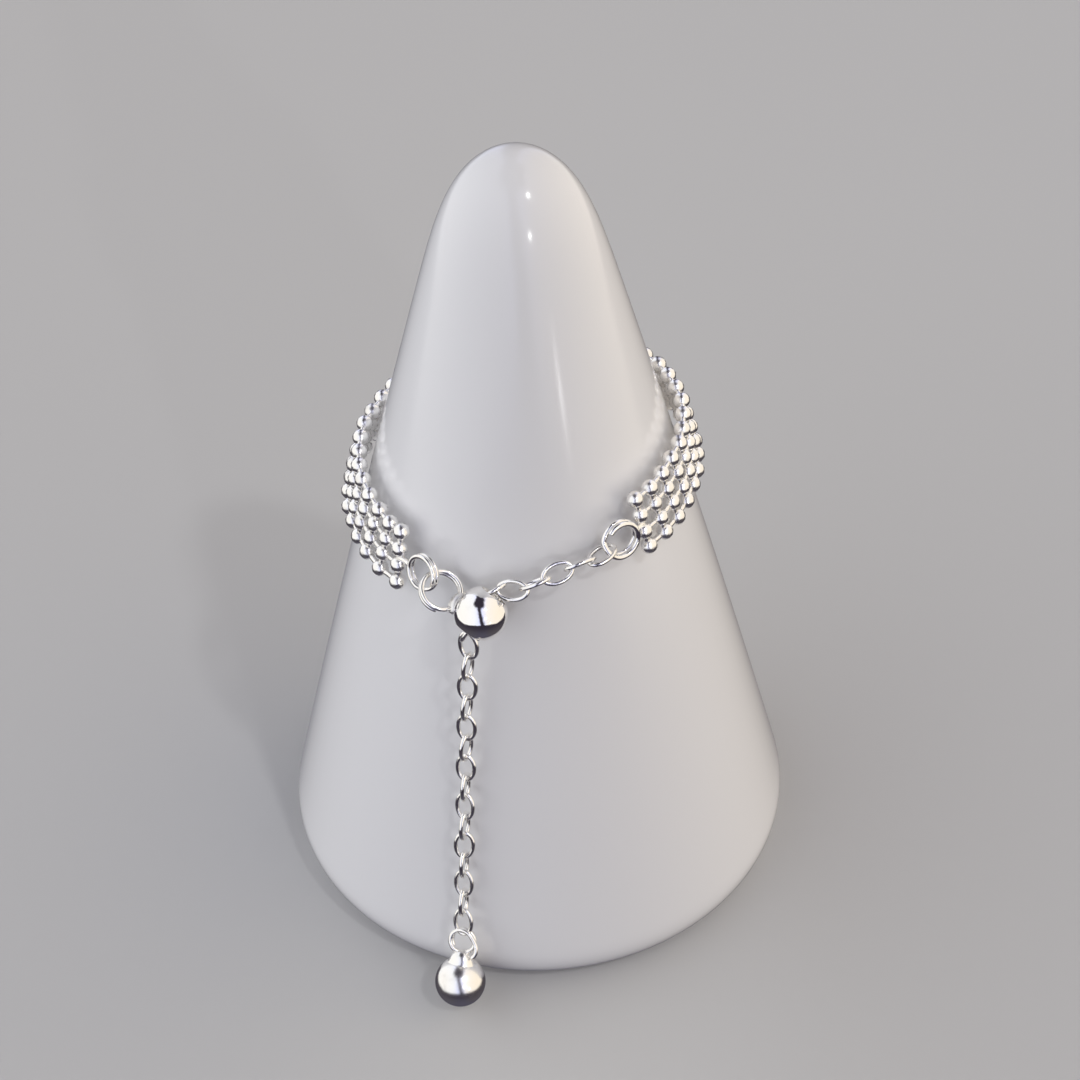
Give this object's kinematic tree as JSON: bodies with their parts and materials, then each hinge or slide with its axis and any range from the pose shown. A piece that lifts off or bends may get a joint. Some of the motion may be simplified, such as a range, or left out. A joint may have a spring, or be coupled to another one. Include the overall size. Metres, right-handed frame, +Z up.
{
  "type": "bead mesh ring on a ring cone",
  "caption": "Adjustable silver finger ring of fine bead mesh, with a slider bead, chain tail and end ball, worn on a round-tipped glazed ceramic ring cone.",
  "frame": {"origin": "middle of the cone's flat base, on the surface that it stands on", "axes": "+Z up along the cone's axis, -Y towards the front, where the slider bead and the chain's tail are, +X to the right"},
  "size_m": [0.031, 0.0335, 0.049],
  "materials": {
    "silver": "mirror-polished silver",
    "glazed_ceramic": "clear gloss glaze on white porcelain"
  },
  "bodies": {
    "root": {"ring_cone": "glazed_ceramic", "mesh_band": "silver", "left_end_ring": "silver", "slider_bead": "silver", "right_end_ring": "silver", "chain": "silver", "end_ball": "silver"}
  },
  "joints": []
}
